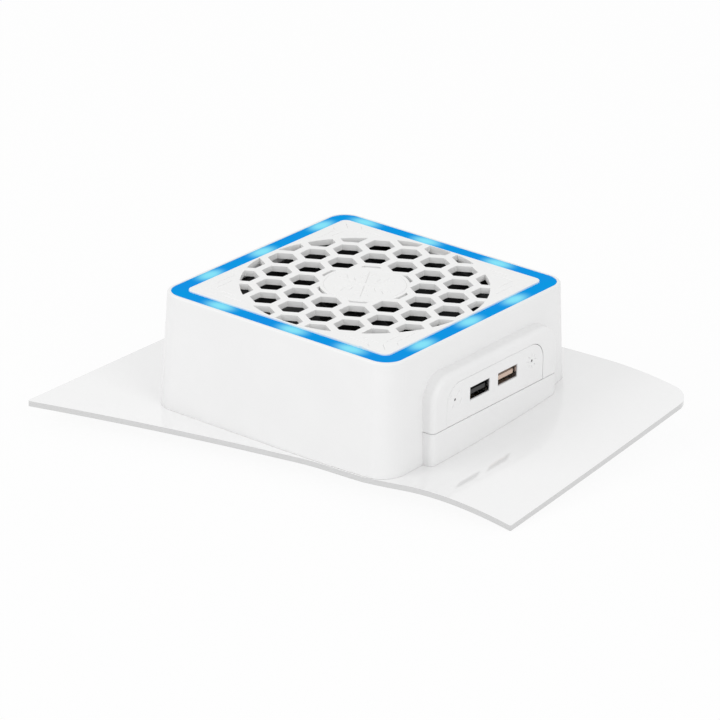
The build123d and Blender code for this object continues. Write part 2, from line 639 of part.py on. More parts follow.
led_line = RING_OUTER_HALF - RING_WIDTH / 2 - RING_LEDGE / 2
with BuildPart() as leds:
    for x, y, turn in side_places((LED_FRONT, LED_RIGHT, LED_BACK, LED_LEFT), led_line):
        with BuildSketch(Plane.XY.offset(BAY_FLOOR + FIT + LED_BOARD_THICKNESS)):
            with Locations(Location((x, y, 0), (0, 0, turn))):
                Rectangle(LED_LENGTH, LED_WIDTH)
        extrude(amount=LED_HEIGHT)
save(leds, "leds")

# Fan frame with corner flanges, struts, motor floor and bearing tube
with BuildPart() as fan_frame:
    with BuildSketch(Plane.XY.offset(FAN_BOTTOM)):
        RectangleRounded(FAN_SIZE, FAN_SIZE, FAN_CORNER_RADIUS)
    extrude(amount=FAN_HEIGHT)
    with BuildSketch(Plane.XY.offset(FAN_BOTTOM + FAN_FLANGE)):
        Rectangle(FAN_SIZE + 2 * WALL, FAN_SIZE + 2 * WALL)
        Circle(FAN_DUCT_RADIUS + FAN_DUCT_WALL, mode=Mode.SUBTRACT)
        with GridLocations(FAN_HOLE_SPACING, FAN_HOLE_SPACING, 2, 2):
            Circle(FAN_LUG_RADIUS, mode=Mode.SUBTRACT)
    extrude(amount=FAN_HEIGHT - 2 * FAN_FLANGE, mode=Mode.SUBTRACT)
    with BuildSketch(Plane.XY.offset(FAN_BOTTOM)):
        Circle(FAN_DUCT_RADIUS)
    extrude(amount=FAN_HEIGHT, mode=Mode.SUBTRACT)
    bore_edges = fan_frame.edges().filter_by(GeomType.CIRCLE)
    chamfer(bore_edges.filter_by(lambda edge: abs(edge.radius - FAN_DUCT_RADIUS) < FIT), FAN_DUCT_BEVEL)
    with BuildSketch(Plane.XY.offset(FAN_BOTTOM)):
        with GridLocations(FAN_HOLE_SPACING, FAN_HOLE_SPACING, 2, 2):
            Circle(SCREW_HOLE)
    extrude(amount=FAN_HEIGHT, mode=Mode.SUBTRACT)
save(fan_frame, "fan_frame")

# Motor floor with its bearing tube, held in the frame's bore by four struts
with BuildPart() as motor_mount:
    with BuildSketch(Plane.XY.offset(FAN_BOTTOM)):
        Circle(MOTOR_FLOOR_RADIUS)
    extrude(amount=MOTOR_FLOOR)
    with BuildSketch(Plane.XY.offset(FAN_BOTTOM)):
        with PolarLocations(FAN_DUCT_RADIUS / 2, STRUT_COUNT, start_angle=45):
            Rectangle(FAN_DUCT_RADIUS, STRUT_WIDTH)
        Circle(MOTOR_FLOOR_RADIUS - 1, mode=Mode.SUBTRACT)
        Circle(FAN_DUCT_RADIUS - FIT, mode=Mode.INTERSECT)
    extrude(amount=STRUT_HEIGHT)
    with BuildSketch(Plane.XY.offset(FAN_BOTTOM)):
        Circle(TUBE_RADIUS)
    extrude(amount=HUB_CEILING - HUB_BOSS_LENGTH - TUBE_GAP - FAN_BOTTOM)
    with BuildSketch(Plane.XY.offset(FAN_BOTTOM + MOTOR_FLOOR)):
        Circle(SLEEVE_RADIUS + FIT)
    extrude(amount=FAN_HEIGHT, mode=Mode.SUBTRACT)
save(motor_mount, "motor_mount")


def blade_section(station):
    """Cambered blade section on an upright plane at one radius."""
    radius, lead_angle, half_chord, half_height, camber, thickness = station
    turn = math.radians(lead_angle)
    outward = (math.cos(turn), math.sin(turn), 0)
    along = (-math.sin(turn), math.cos(turn), 0)
    middle = (radius * outward[0], radius * outward[1], (HUB_TOP + HUB_BOTTOM) / 2)
    chord = math.hypot(half_chord, half_height)
    crest = (-camber * half_height / chord, camber * half_chord / chord)
    half = thickness / 2
    with BuildSketch(Plane(origin=middle, x_dir=along, z_dir=outward)) as section:
        with BuildLine():
            ThreePointArc(
                (-half_chord, half - half_height),
                (crest[0], crest[1] + half),
                (half_chord, half_height + half),
            )
            Line((half_chord, half_height + half), (half_chord, half_height - half))
            ThreePointArc(
                (half_chord, half_height - half),
                (crest[0], crest[1] - half),
                (-half_chord, -half_height - half),
            )
            Line((-half_chord, -half_height - half), (-half_chord, half - half_height))
        make_face()
    return section.sketch


with BuildPart() as blade:
    for station in (BLADE_ROOT, BLADE_MIDDLE, BLADE_TIP):
        add(blade_section(station))
    loft()
    with BuildSketch(Plane.XY.offset(FAN_BOTTOM)):
        Circle(FAN_DUCT_RADIUS - TIP_CLEARANCE)
        Circle(HUB_RADIUS - HUB_WALL / 2, mode=Mode.SUBTRACT)
    extrude(amount=FAN_HEIGHT, mode=Mode.INTERSECT)

# Impeller, a hub cup with swept blades
with BuildPart() as fan_impeller:
    with BuildSketch(Plane.XY.offset(HUB_BOTTOM)):
        Circle(HUB_RADIUS)
    extrude(amount=HUB_TOP - HUB_BOTTOM)
    fillet(fan_impeller.edges().group_by(Axis.Z)[-1], HUB_ROUND)
    with PolarLocations(0, BLADE_COUNT):
        add(blade.part)
    with BuildSketch(Plane.XY.offset(HUB_BOTTOM)):
        Circle(HUB_RADIUS - HUB_WALL)
    extrude(amount=HUB_CEILING - HUB_BOTTOM, mode=Mode.SUBTRACT)
    with BuildSketch(Plane.XY.offset(HUB_CEILING)):
        Circle(HUB_BOSS_RADIUS)
    extrude(amount=-HUB_BOSS_LENGTH)
    with BuildSketch(Plane.XY.offset(HUB_CEILING)):
        Circle(SHAFT_RADIUS + FIT / 2)
    extrude(amount=-HUB_BOSS_LENGTH, mode=Mode.SUBTRACT)
save(fan_impeller, "fan_impeller")

# Steel yoke and magnet inside the hub
yoke_radius = HUB_RADIUS - HUB_WALL - FIT
yoke_inner = yoke_radius - YOKE_WALL
with BuildPart() as rotor_yoke:
    with BuildSketch(Plane.XY.offset(HUB_BOTTOM + YOKE_WALL)):
        Circle(yoke_radius)
    extrude(amount=HUB_CEILING - FIT - HUB_BOTTOM - YOKE_WALL)
    with BuildSketch(Plane.XY.offset(HUB_BOTTOM)):
        Circle(yoke_inner)
    extrude(amount=HUB_CEILING - FIT - YOKE_WALL - HUB_BOTTOM, mode=Mode.SUBTRACT)
    with BuildSketch(Plane.XY.offset(HUB_BOTTOM)):
        Circle(HUB_BOSS_RADIUS + FIT)
    extrude(amount=FAN_HEIGHT, mode=Mode.SUBTRACT)
save(rotor_yoke, "rotor_yoke")

with BuildPart() as rotor_magnet:
    with BuildSketch(Plane.XY.offset(HUB_BOTTOM + YOKE_WALL)):
        Circle(yoke_inner - FIT)
        Circle(yoke_inner - FIT - MAGNET_THICKNESS, mode=Mode.SUBTRACT)
    extrude(amount=MAGNET_HEIGHT)
save(rotor_magnet, "rotor_magnet")

# Shaft with its clip groove
shaft_foot = FAN_BOTTOM + MOTOR_FLOOR + SHAFT_LIFT
clip_level = shaft_foot + CLIP_LIFT
with BuildPart() as fan_shaft:
    with BuildSketch(Plane.XY.offset(shaft_foot)):
        Circle(SHAFT_RADIUS)
    extrude(amount=HUB_CEILING - FIT - shaft_foot)
    with BuildSketch(Plane.XY.offset(clip_level - FIT)):
        Circle(SHAFT_RADIUS + FIT)
        Circle(GROOVE_RADIUS, mode=Mode.SUBTRACT)
    extrude(amount=CLIP_THICKNESS + 2 * FIT, mode=Mode.SUBTRACT)
save(fan_shaft, "fan_shaft")

with BuildPart() as shaft_clip:
    with BuildSketch(Plane.XY.offset(clip_level)):
        Circle(CLIP_RADIUS)
        Circle(GROOVE_RADIUS + FIT / 2, mode=Mode.SUBTRACT)
        with Locations((CLIP_RADIUS, 0)):
            Rectangle(2 * CLIP_RADIUS, GROOVE_RADIUS, mode=Mode.SUBTRACT)
    extrude(amount=CLIP_THICKNESS)
save(shaft_clip, "shaft_clip")

with BuildPart() as bearing_sleeve:
    with BuildSketch(Plane.XY.offset(FAN_BOTTOM + MOTOR_FLOOR + SLEEVE_LIFT)):
        Circle(SLEEVE_RADIUS)
        Circle(SHAFT_RADIUS + SHAFT_CLEARANCE, mode=Mode.SUBTRACT)
    extrude(amount=SLEEVE_LENGTH)
save(bearing_sleeve, "bearing_sleeve")

# Stator, windings and drive board on the bearing tube
core_radius = yoke_inner - FIT - MAGNET_THICKNESS - AIR_GAP
core_foot = FAN_BOTTOM + MOTOR_FLOOR + CORE_LIFT
with BuildPart() as stator_core:
    with BuildSketch(Plane.XY.offset(core_foot)):
        Circle(core_radius)
        Circle(core_radius - POLE_SHOE, mode=Mode.SUBTRACT)
        with PolarLocations(core_radius, POLE_COUNT, start_angle=180 / POLE_COUNT):
            Rectangle(3 * POLE_SHOE, POLE_SLOT, mode=Mode.SUBTRACT)
        Circle(CORE_HUB_RADIUS)
        arm_length = core_radius - POLE_SHOE / 2 - TUBE_RADIUS
        with PolarLocations(TUBE_RADIUS + arm_length / 2, POLE_COUNT):
            Rectangle(arm_length, POLE_WIDTH)
        Circle(TUBE_RADIUS + FIT, mode=Mode.SUBTRACT)
    extrude(amount=CORE_HEIGHT)
save(stator_core, "stator_core")

with BuildPart() as stator_windings:
    with BuildSketch(Plane.XY.offset(core_foot - FIT - COIL_BUILD)):
        with PolarLocations(COIL_PLACE, POLE_COUNT):
            Rectangle(COIL_LENGTH, POLE_WIDTH + 2 * COIL_BUILD)
    extrude(amount=CORE_HEIGHT + 2 * (FIT + COIL_BUILD))
    with BuildSketch(Plane.XY.offset(core_foot - FIT)):
        with PolarLocations(COIL_PLACE, POLE_COUNT):
            Rectangle(COIL_LENGTH + 2 * FIT, POLE_WIDTH + 2 * FIT)
    extrude(amount=CORE_HEIGHT + 2 * FIT, mode=Mode.SUBTRACT)
save(stator_windings, "stator_windings")

with BuildPart() as motor_board:
    with BuildSketch(Plane.XY.offset(FAN_BOTTOM + MOTOR_FLOOR + FIT)):
        Circle(MOTOR_BOARD_RADIUS)
        Circle(TUBE_RADIUS + FIT, mode=Mode.SUBTRACT)
    extrude(amount=MOTOR_BOARD_THICKNESS)
save(motor_board, "motor_board")

# Rubber pads under the fan and the long screws that hold it
with BuildPart() as fan_pads:
    with BuildSketch(Plane.XY.offset(FAN_BOTTOM - PAD_THICKNESS)):
        with GridLocations(FAN_HOLE_SPACING, FAN_HOLE_SPACING, 2, 2):
            Circle(POST_RADIUS)
            Circle(SCREW_HOLE, mode=Mode.SUBTRACT)
    extrude(amount=PAD_THICKNESS)
save(fan_pads, "fan_pads")

with BuildPart() as fan_screws:
    with BuildSketch(Plane.XY.offset(FAN_TOP)):
        with GridLocations(FAN_HOLE_SPACING, FAN_HOLE_SPACING, 2, 2):
            Circle(SCREW_RADIUS)
    extrude(amount=-(FAN_HEIGHT + PAD_THICKNESS + FAN_SCREW_DEPTH))
    with BuildSketch(Plane.XY.offset(FAN_TOP)):
        with GridLocations(FAN_HOLE_SPACING, FAN_HOLE_SPACING, 2, 2):
            Circle(SCREW_HEAD)
    extrude(amount=SCREW_HEAD_HEIGHT)
save(fan_screws, "fan_screws")

with BuildPart() as housing_screws:
    with BuildSketch(Plane.XY.offset(PAD_LEVEL)):
        with GridLocations(HOUSING_BOSS_SPACING, HOUSING_BOSS_SPACING, 2, 2):
            Circle(SCREW_RADIUS)
    extrude(amount=HOUSING_SCREW_TOP - PAD_LEVEL)
    with BuildSketch(Plane.XY.offset(PAD_LEVEL)):
        with GridLocations(HOUSING_BOSS_SPACING, HOUSING_BOSS_SPACING, 2, 2):
            Circle(SCREW_HEAD)
    extrude(amount=SCREW_HEAD_HEIGHT - FIT)
save(housing_screws, "housing_screws")

# USB board behind the bezel, with its two receptacles
with BuildPart() as usb_board:
    with BuildSketch(Plane.XY.offset(BOARD_BOTTOM)):
        with Locations(((BOARD_BACK + BOARD_FRONT) / 2, PORT_CENTRE)):
            Rectangle(BOARD_FRONT - BOARD_BACK, BOARD_WIDTH)
        with Locations((BOARD_POST_X, PORT_CENTRE)):
            with GridLocations(0, BOARD_POST_SPACING, 1, 2):
                Circle(BOARD_SCREW_RADIUS + FIT, mode=Mode.SUBTRACT)
    extrude(amount=BOARD_THICKNESS)
save(usb_board, "usb_board")

shell_mouth = POD_FACE - BEZEL_SET_BACK - SHELL_SET_BACK
shell_back = shell_mouth - SHELL_LENGTH
port_places = {
    "left": PORT_CENTRE - PORT_PITCH / 2,
    "right": PORT_CENTRE + PORT_PITCH / 2,
}
for side, place in port_places.items():
    with BuildPart() as usb_shell:
        with BuildSketch(Plane.YZ.offset(shell_back)):
            with Locations((place, PORT_HEIGHT)):
                Rectangle(SHELL_WIDTH, SHELL_DEPTH)
        extrude(amount=SHELL_LENGTH)
        with BuildSketch(Plane.YZ.offset(shell_back + SHELL_SKIN)):
            with Locations((place, PORT_HEIGHT)):
                Rectangle(SHELL_WIDTH - 2 * SHELL_SKIN, SHELL_DEPTH - 2 * SHELL_SKIN)
        extrude(amount=SHELL_LENGTH, mode=Mode.SUBTRACT)
    save(usb_shell, f"usb_shell_{side}")
    with BuildPart() as usb_tongue:
        with BuildSketch(Plane.YZ.offset(shell_back + SHELL_SKIN + FIT)):
            with Locations((place, PORT_HEIGHT)):
                Rectangle(SHELL_WIDTH - 2 * (SHELL_SKIN + FIT), SHELL_DEPTH - 2 * (SHELL_SKIN + FIT))
        extrude(amount=TONGUE_BASE)
        with BuildSketch(Plane.YZ.offset(shell_back + SHELL_SKIN + FIT)):
            with Locations((place, PORT_HEIGHT + TONGUE_OFFSET)):
                Rectangle(TONGUE_WIDTH, TONGUE_DEPTH)
        extrude(amount=TONGUE_BASE + TONGUE_LENGTH)
    save(usb_tongue, f"usb_tongue_{side}")

contact_level = PORT_HEIGHT + TONGUE_OFFSET - TONGUE_DEPTH / 2 - CONTACT_THICKNESS / 2
with BuildPart() as usb_contacts:
    with BuildSketch(Plane.YZ.offset(shell_back + SHELL_SKIN + 2 * FIT + TONGUE_BASE)):
        for place in port_places.values():
            with Locations((place, contact_level)):
                with GridLocations(CONTACT_PITCH, 0, 4, 1):
                    Rectangle(CONTACT_WIDTH, CONTACT_THICKNESS)
    extrude(amount=CONTACT_LENGTH)
save(usb_contacts, "usb_contacts")

with BuildPart() as board_screws:
    with BuildSketch(Plane.XY.offset(BOARD_TOP)):
        with Locations((BOARD_POST_X, PORT_CENTRE)):
            with GridLocations(0, BOARD_POST_SPACING, 1, 2):
                Circle(BOARD_SCREW_RADIUS)
    extrude(amount=-BOARD_SCREW_LENGTH)
    with BuildSketch(Plane.XY.offset(BOARD_TOP)):
        with Locations((BOARD_POST_X, PORT_CENTRE)):
            with GridLocations(0, BOARD_POST_SPACING, 1, 2):
                Circle(BOARD_SCREW_HEAD)
    extrude(amount=BOARD_SCREW_HEAD_HEIGHT)
save(board_screws, "board_screws")

# Light pipes that carry two indicators to the bezel's pinholes
with BuildPart() as light_pipes:
    with BuildSketch(Plane.XY.offset(BOARD_TOP + FIT)):
        with Locations((BOARD_FRONT - PIPE_FOOT / 2, PORT_CENTRE)):
            with GridLocations(0, 2 * PINHOLE_OFFSET, 1, 2):
                Rectangle(PIPE_FOOT, PIPE_FOOT)
    extrude(amount=PINHOLE_HEIGHT + PIPE_FOOT / 2 - BOARD_TOP)
    with BuildSketch(Plane.YZ.offset(BOARD_FRONT - FIT)):
        with Locations((PORT_CENTRE, PINHOLE_HEIGHT)):
            with GridLocations(2 * PINHOLE_OFFSET, 0, 2, 1):
                Circle(PINHOLE_RADIUS - FIT)
    extrude(amount=POD_FACE - BEZEL_SET_BACK - BEZEL_SET_BACK - BOARD_FRONT)
save(light_pipes, "light_pipes")

# Power inlet receptacle and its small board at the back wall
inlet_mouth = housing_half(INLET_HEIGHT) - INLET_SET_BACK
with BuildPart() as inlet_board:
    with BuildSketch(Plane.XY.offset(INLET_BOARD_BOTTOM)):
        with Locations((INLET_X, INLET_POST_Y)):
            Rectangle(INLET_BOARD_WIDTH, INLET_BOARD_LENGTH)
            with GridLocations(INLET_POST_SPACING, 0, 2, 1):
                Circle(BOARD_SCREW_RADIUS + FIT, mode=Mode.SUBTRACT)
    extrude(amount=BOARD_THICKNESS)
save(inlet_board, "inlet_board")

with BuildPart() as inlet_shell:
    with BuildSketch(Plane.XZ.offset(-inlet_mouth)):
        with Locations((INLET_X, INLET_HEIGHT)):
            SlotOverall(INLET_WIDTH, INLET_DEPTH)
    extrude(amount=INLET_LENGTH)
    with BuildSketch(Plane.XZ.offset(-inlet_mouth)):
        with Locations((INLET_X, INLET_HEIGHT)):
            SlotOverall(INLET_WIDTH - 2 * INLET_SKIN, INLET_DEPTH - 2 * INLET_SKIN)
    extrude(amount=INLET_LENGTH - INLET_SKIN, mode=Mode.SUBTRACT)
save(inlet_shell, "inlet_shell")

with BuildPart() as inlet_tongue:
    with BuildSketch(Plane.XZ.offset(-inlet_mouth + INLET_LENGTH - INLET_SKIN - FIT)):
        with Locations((INLET_X, INLET_HEIGHT)):
            Rectangle(INLET_TONGUE_WIDTH, INLET_TONGUE_DEPTH)
    extrude(amount=-(INLET_LENGTH - INLET_SKIN - 1))
save(inlet_tongue, "inlet_tongue")

with BuildPart() as inlet_screws:
    with BuildSketch(Plane.XY.offset(INLET_BOARD_TOP)):
        with Locations((INLET_X, INLET_POST_Y)):
            with GridLocations(INLET_POST_SPACING, 0, 2, 1):
                Circle(BOARD_SCREW_RADIUS)
    extrude(amount=-BOARD_SCREW_LENGTH)
    with BuildSketch(Plane.XY.offset(INLET_BOARD_TOP)):
        with Locations((INLET_X, INLET_POST_Y)):
            with GridLocations(INLET_POST_SPACING, 0, 2, 1):
                Circle(BOARD_SCREW_HEAD)
    extrude(amount=BOARD_SCREW_HEAD_HEIGHT)
save(inlet_screws, "inlet_screws")
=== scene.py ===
"""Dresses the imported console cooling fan: materials, lit ring, engraved lines, port marks and studio."""
import math

import bmesh
import bpy
from mathutils import Matrix, Vector


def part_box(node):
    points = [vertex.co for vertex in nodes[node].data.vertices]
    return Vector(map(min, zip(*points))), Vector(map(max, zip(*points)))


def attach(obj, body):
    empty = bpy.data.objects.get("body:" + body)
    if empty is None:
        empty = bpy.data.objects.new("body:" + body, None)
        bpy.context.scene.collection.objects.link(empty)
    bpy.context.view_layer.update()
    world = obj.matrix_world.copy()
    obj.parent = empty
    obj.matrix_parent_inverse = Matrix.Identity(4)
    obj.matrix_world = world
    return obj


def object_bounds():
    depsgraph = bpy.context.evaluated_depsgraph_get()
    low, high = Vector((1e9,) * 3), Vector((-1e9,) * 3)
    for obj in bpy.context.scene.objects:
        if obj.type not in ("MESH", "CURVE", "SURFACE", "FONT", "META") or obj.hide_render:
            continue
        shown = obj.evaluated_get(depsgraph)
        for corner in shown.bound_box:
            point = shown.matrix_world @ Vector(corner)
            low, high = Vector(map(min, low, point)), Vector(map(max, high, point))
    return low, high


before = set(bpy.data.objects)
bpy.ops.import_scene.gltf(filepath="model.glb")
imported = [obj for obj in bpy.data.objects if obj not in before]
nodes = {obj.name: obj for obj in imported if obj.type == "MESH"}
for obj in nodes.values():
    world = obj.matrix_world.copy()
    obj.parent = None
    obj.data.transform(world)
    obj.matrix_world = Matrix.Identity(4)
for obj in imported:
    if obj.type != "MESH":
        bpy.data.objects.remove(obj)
cad_low, cad_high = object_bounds()
MM = 0.001

# Places that the frame gives
PANEL_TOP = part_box("grille_panel")[1].z
RING_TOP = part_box("light_ring")[1].z
PIN_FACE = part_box("port_bezel")[1].x

# Pinholes in the port bezel
PIN_CENTRE_Y = 0.2 * MM
PIN_OFFSET_Y = 26 * MM
PIN_HEIGHT = 31.1 * MM

# Engraved lines, in millimetres
STAR_WIDTH = 0.42
CORNER_WIDTH = 0.4
PANEL_DEPTH = 0.34
RIM_RADIUS = 17.2
RIM_WIDTH = 0.34
RIM_DEPTH = 0.26
RIM_STEPS = 96
MARK_WIDTH = 0.5
MARK_DEPTH = 0.5
RAY_COUNT = 8
RAY_START = 1.9
RAY_END = 3.4
RECESS_WIDTH = 0.5
RECESS_DEPTH = 0.7
RECESS_REACH = 1.7
RECESS_GAP = 0.5
SCREW_HEAD_RADIUS = 2.8
WELD_GAP = 1e-6

# Camera at the photograph's viewing angle
CAMERA_PLACE = (0.987655, -1.266758, 0.715229)
CAMERA_TARGET = (-0.001119, -0.000874, 0.020965)
CAMERA_ROLL = math.radians(1.1128)
CAMERA_LENS = 210.405
SENSOR_WIDTH = 36.0
CLIP_NEAR = 0.05
CLIP_FAR = 50

# Studio, in metres and watts
FLOOR_HALF = 6.0
FLOOR_GAP = 0.2 * MM
FLOOR_GLOW = 0.93
FLOOR_COLOUR = (0.86, 0.86, 0.86, 1)
SKY_STRENGTH = 0.78
LAMPS = (
    ("front_left", (-1.0, -1.9, 1.3), 1.0, 12.5),
    ("front_right", (1.9, -0.6, 1.2), 1.2, 9.5),
    ("back_left", (-1.2, 0.7, 1.7), 0.8, 1),
)

# Colours, linear
WHITE = (0.86, 0.86, 0.86)
GLOSS_WHITE = (0.88, 0.88, 0.88)
# Grey of the painted shade on the cover's upright edges
EDGE_PAINTED_SHADE = (0.62, 0.62, 0.62)
PANEL_WHITE = (0.88, 0.88, 0.875)
LIT_BLUE = (0.0010, 0.31, 0.74)
LIT_CYAN = (0.24, 0.76, 0.92)
MILKY_BLUE = (0.006, 0.27, 0.75)
GUIDE_DARK = (0.002, 0.010, 0.02)
GUIDE_PALE = (0.003, 0.014, 0.028)
BLACK = (0.006, 0.006, 0.0065)
MASK_GREEN = (0.008, 0.085, 0.032)
TRACK_GREEN = (0.02, 0.17, 0.06)
COPPER_DARK = (0.22, 0.05, 0.015)
COPPER_PALE = (0.72, 0.25, 0.08)

# Places of the diodes under the ring, as offsets along each side, in millimetres
DIODE_LINE = 55.8
DIODES_FRONT = (-31, 7, 37)
DIODES_BACK = (-44, -11, 27)
DIODES_RIGHT = (-33.5, -2, 28.5)
DIODES_LEFT = (-33, 1, 40.5)

# Bloom over each diode: bright core, reach, and how far it stretches along the ring
BLOOM_CORE = 0.3 * MM
BLOOM_REACH = 6.2 * MM
BLOOM_SQUEEZE = 0.55


# Material building blocks


def new_material(name):
    """An empty node material and its Principled shader."""
    material = bpy.data.materials.new(name)
    material.use_nodes = True
    return material, material.node_tree.nodes["Principled BSDF"]


def add(material, kind, **values):
    """A node of that kind, with its sockets and properties set by name."""
    node = material.node_tree.nodes.new(kind)
    for key, value in values.items():
        if key in node.inputs:
            node.inputs[key].default_value = value
        else:
            setattr(node, key, value)
    return node


def wire(material, source, target):
    """A link from one socket to another."""
    material.node_tree.links.new(source, target)


def object_point(material, scale=(1, 1, 1)):
    """The point on the piece in its own space, stretched."""
    where = add(material, "ShaderNodeTexCoord")
    mapping = add(material, "ShaderNodeMapping")
    mapping.inputs["Scale"].default_value = scale
    wire(material, where.outputs["Object"], mapping.inputs["Vector"])
    return mapping.outputs["Vector"]


def noise(material, point, scale, detail, roughness=0.5):
    """A noise texture's value at a point."""
    texture = add(material, "ShaderNodeTexNoise")
    texture.inputs["Scale"].default_value = scale
    texture.inputs["Detail"].default_value = detail
    texture.inputs["Roughness"].default_value = roughness
    wire(material, point, texture.inputs["Vector"])
    return texture.outputs["Fac"]


def spread(material, value, low, high, start=0.3, end=0.7):
    """value from start to end becomes low to high."""
    ranged = add(material, "ShaderNodeMapRange")
    for key, number in (("From Min", start), ("From Max", end), ("To Min", low), ("To Max", high)):
        ranged.inputs[key].default_value = number
    wire(material, value, ranged.inputs["Value"])
    return ranged.outputs["Result"]


def tint(material, value, first, second):
    """A colour between two, by value."""
    mix = add(material, "ShaderNodeMix", data_type="RGBA")
    mix.inputs["A"].default_value = (*first, 1)
    mix.inputs["B"].default_value = (*second, 1)
    wire(material, value, mix.inputs["Factor"])
    return mix.outputs["Result"]


def bump(material, heights, distance):
    """A surface normal that follows the heights."""
    node = add(material, "ShaderNodeBump", Strength=1.0, Distance=distance)
    wire(material, heights, node.inputs["Height"])
    return node.outputs["Normal"]


def seen_directly(owner):
    """1 for rays from the camera, from gloss and through glass, otherwise 0."""
    rays = add(owner, "ShaderNodeLightPath")
    seen = rays.outputs["Is Camera Ray"]
    for name in ("Is Glossy Ray", "Is Transmission Ray"):
        either = add(owner, "ShaderNodeMath", operation="MAXIMUM")
        wire(owner, seen, either.inputs[0])
        wire(owner, rays.outputs[name], either.inputs[1])
        seen = either.outputs["Value"]
    return seen


def shade(colour, factor):
    """The colour, darker or lighter by a factor."""
    return tuple(c * factor for c in colour)


def plastic(name, colour, rough, grain=2600, depth=6e-6, mottle=0.02, coat=0.0, specular=0.5):
    """Moulded plastic: a fine spark-eroded grain, slow tone drift and polish that varies."""
    material, shader = new_material(name)
    point = object_point(material)
    drift = noise(material, point, 34, 4)
    fine = noise(material, point, grain, 2, 0.6)
    dull, bright = shade(colour, 1 - mottle), shade(colour, 1 + mottle)
    base = tint(material, spread(material, drift, 0, 1), dull, bright)
    wire(material, base, shader.inputs["Base Color"])
    wire(material, spread(material, drift, rough * 0.88, rough * 1.12), shader.inputs["Roughness"])
    wire(material, bump(material, fine, depth), shader.inputs["Normal"])
    shader.inputs["Specular IOR Level"].default_value = specular
    shader.inputs["Coat Weight"].default_value = coat
    shader.inputs["Coat Roughness"].default_value = 0.06
    return material


def glossy_cover(name):
    """Polished cover plastic with painted shade: its upright cut edges get a darker base colour than its
    broad flat faces.
    """
    material = plastic(name, GLOSS_WHITE, 0.1, grain=120, depth=1.2e-5, mottle=0.01, coat=1.0)
    shader = material.node_tree.nodes["Principled BSDF"]
    # Painted shade: the base colour goes from cover white on flat faces to grey on upright faces, by how
    # upright the face is.
    shape = add(material, "ShaderNodeNewGeometry")
    parts = add(material, "ShaderNodeSeparateXYZ")
    wire(material, shape.outputs["True Normal"], parts.inputs["Vector"])
    level = add(material, "ShaderNodeMath", operation="ABSOLUTE")
    wire(material, parts.outputs["Z"], level.inputs[0])
    painted_shade_blend = spread(material, level.outputs["Value"], 0, 1, 0.2, 0.9)
    wire(material, tint(material, painted_shade_blend, EDGE_PAINTED_SHADE, GLOSS_WHITE), shader.inputs["Base Color"])
    shader.inputs["Coat IOR"].default_value = 1.8
    return material


def metal(name, colour, rough, stretch=(1, 1, 14), scale=420, depth=4e-6):
    """Metal with a drawn or turned grain along one axis and slight staining."""
    material, shader = new_material(name)
    grain = noise(material, object_point(material, stretch), scale, 3, 0.6)
    stain = noise(material, object_point(material), 130, 4)
    base = tint(material, spread(material, stain, 0, 1), shade(colour, 0.86), colour)
    wire(material, base, shader.inputs["Base Color"])
    wire(material, spread(material, grain, rough * 0.7, rough * 1.3), shader.inputs["Roughness"])
    wire(material, bump(material, grain, depth), shader.inputs["Normal"])
    shader.inputs["Metallic"].default_value = 1.0
    return material


def circuit_board(name):
    """Solder mask over copper: paler tracks in a rectangular network under a glossy green."""
    material, shader = new_material(name)
    point = object_point(material)
    tracks = add(material, "ShaderNodeTexBrick", offset=0.37, squash=0.6)
    tracks.inputs["Scale"].default_value = 260
    tracks.inputs["Mortar Size"].default_value = 0.05
    tracks.inputs["Mortar Smooth"].default_value = 0.2
    wire(material, point, tracks.inputs["Vector"])
    cloud = noise(material, point, 90, 3)
    base = tint(material, tracks.outputs["Fac"], MASK_GREEN, TRACK_GREEN)
    wire(material, base, shader.inputs["Base Color"])
    wire(material, spread(material, cloud, 0.24, 0.38), shader.inputs["Roughness"])
    wire(material, bump(material, tracks.outputs["Fac"], 3e-5), shader.inputs["Normal"])
    return material


def wound_copper(name):
    """Enamelled wire laid turn on turn."""
    material, shader = new_material(name)
    turns = add(material, "ShaderNodeTexWave", bands_direction="Z", Scale=900, Distortion=1.4, Detail=1.0)
    turns.inputs["Detail Scale"].default_value = 0.6
    wire(material, object_point(material), turns.inputs["Vector"])
    base = tint(material, turns.outputs["Fac"], COPPER_DARK, COPPER_PALE)
    wire(material, base, shader.inputs["Base Color"])
    wire(material, spread(material, turns.outputs["Fac"], 0.42, 0.22, 0, 1), shader.inputs["Roughness"])
    wire(material, bump(material, turns.outputs["Fac"], 5e-5), shader.inputs["Normal"])
    shader.inputs["Metallic"].default_value = 0.9
    return material


def diode_points():
    """Where the diodes stand, in metres."""
    line = DIODE_LINE
    found = [(x, -line) for x in DIODES_FRONT] + [(x, line) for x in DIODES_BACK]
    found += [(line, y) for y in DIODES_RIGHT] + [(-line, y) for y in DIODES_LEFT]
    return [(x * MM, y * MM, RING_TOP) for x, y in found]


def diode_bloom(material, point, place):
    """1 at one diode, falling to 0 round it, longer along the ring than across."""
    along_x = abs(place[1]) > abs(place[0])
    squeeze = (BLOOM_SQUEEZE, 1, 1) if along_x else (1, BLOOM_SQUEEZE, 1)
    offset = add(material, "ShaderNodeVectorMath", operation="SUBTRACT")
    offset.inputs[1].default_value = place
    wire(material, point, offset.inputs[0])
    stretched = add(material, "ShaderNodeVectorMath", operation="MULTIPLY")
    stretched.inputs[1].default_value = squeeze
    wire(material, offset.outputs["Vector"], stretched.inputs[0])
    reach = add(material, "ShaderNodeVectorMath", operation="LENGTH")
    wire(material, stretched.outputs["Vector"], reach.inputs[0])
    near = add(material, "ShaderNodeMapRange", interpolation_type="SMOOTHERSTEP")
    near.inputs["From Min"].default_value = BLOOM_CORE
    near.inputs["From Max"].default_value = BLOOM_REACH
    near.inputs["To Min"].default_value = 1.0
    near.inputs["To Max"].default_value = 0.0
    wire(material, reach.outputs["Value"], near.inputs["Value"])
    return near.outputs["Result"]


